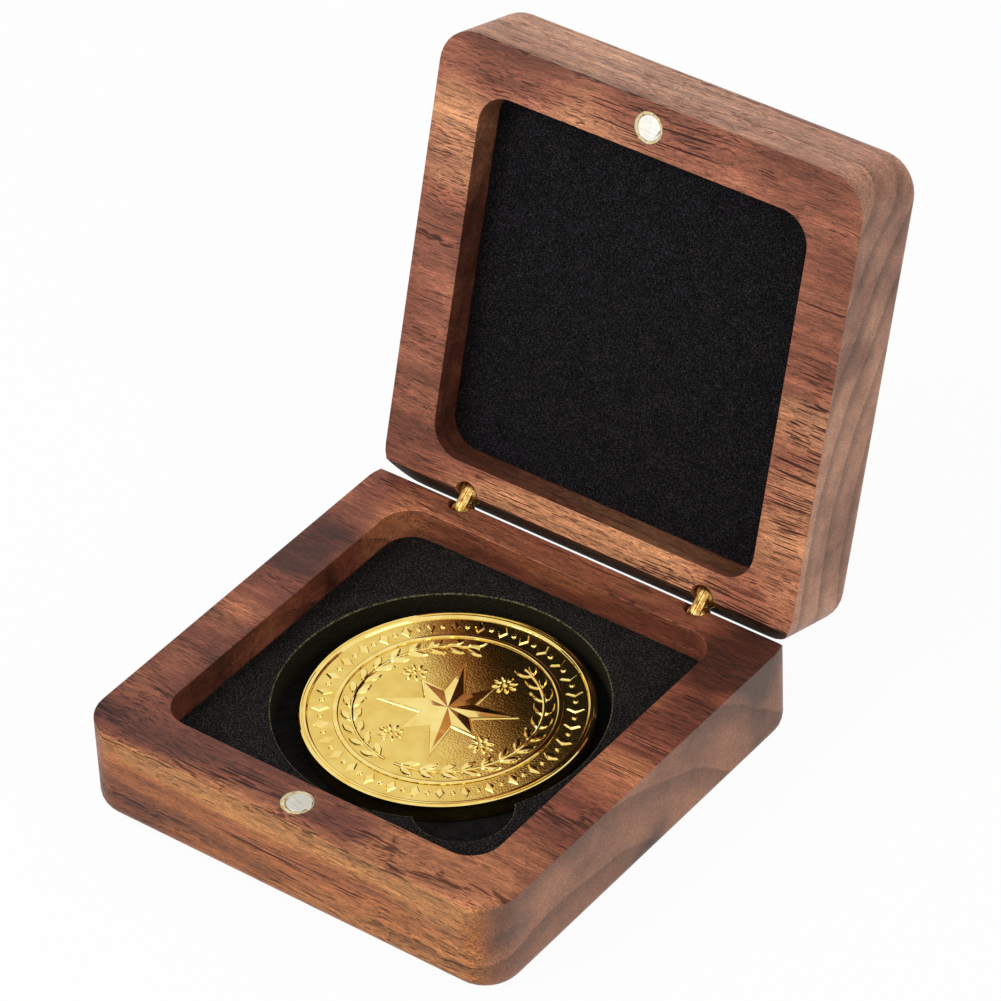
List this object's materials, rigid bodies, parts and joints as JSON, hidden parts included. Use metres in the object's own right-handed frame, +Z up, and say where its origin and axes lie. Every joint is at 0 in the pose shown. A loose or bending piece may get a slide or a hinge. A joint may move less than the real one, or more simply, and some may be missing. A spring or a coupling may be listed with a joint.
{
  "type": "coin display case",
  "caption": "Square walnut case with a hinged lid, a die-cut insert that holds one round coin under a recessed rim, and magnets that keep it shut.",
  "frame": {"origin": "centre of the base block's flat underside, as if its edges weren't rounded", "axes": "+X to the right along the front and along the hinge line, +Y from the front to the hinge side, +Z up"},
  "size_m": [0.075, 0.1073, 0.0855],
  "materials": {
    "walnut": "oiled walnut, satin, with fine dark pores",
    "black_felt": "thin black felt",
    "flocked_foam": "foam board with a flocked black face",
    "coin_gilt": "polished gilt with struck relief",
    "magnet_nickel": "bright nickel plate",
    "magnet_glue": "set yellowish glue",
    "hinge_brass": "machined brass, slightly dulled"
  },
  "bodies": {
    "base": {"base_block": "walnut", "base_liner": "black_felt", "coin_insert": "flocked_foam", "base_magnet": "magnet_nickel", "base_magnet_glue": "magnet_glue", "hinge_base_barrel_left": "hinge_brass", "hinge_base_barrel_right": "hinge_brass", "hinge_base_pin_left": "hinge_brass", "hinge_base_pin_right": "hinge_brass"},
    "hinge_leaves": {"hinge_inner_leaf_left": "hinge_brass", "hinge_inner_leaf_right": "hinge_brass", "hinge_outer_leaf_left": "hinge_brass", "hinge_outer_leaf_right": "hinge_brass"},
    "lid": {"lid_block": "walnut", "lid_pad": "flocked_foam", "lid_magnet": "magnet_nickel", "lid_magnet_glue": "magnet_glue", "hinge_lid_barrel_left": "hinge_brass", "hinge_lid_barrel_right": "hinge_brass", "hinge_lid_pin_left": "hinge_brass", "hinge_lid_pin_right": "hinge_brass"},
    "coin": {"coin": "coin_gilt"}
  },
  "joints": [
    {"name": "leaf_turn", "type": "hinge", "parent": "base", "child": "hinge_leaves", "pos_m": [0, 0.0341, 0.0144], "axis": [-1, 0, 0], "range_deg": [-53.25, 0]},
    {"name": "lid_turn", "type": "hinge", "parent": "hinge_leaves", "child": "lid", "pos_m": [0, 0.03674, 0.01637], "axis": [-1, 0, 0], "range_deg": [-53.25, 0]},
    {"name": "coin_lift", "type": "slide", "parent": "base", "child": "coin", "axis": [0, 0, 1], "range_m": [0, 0.012]}
  ]
}
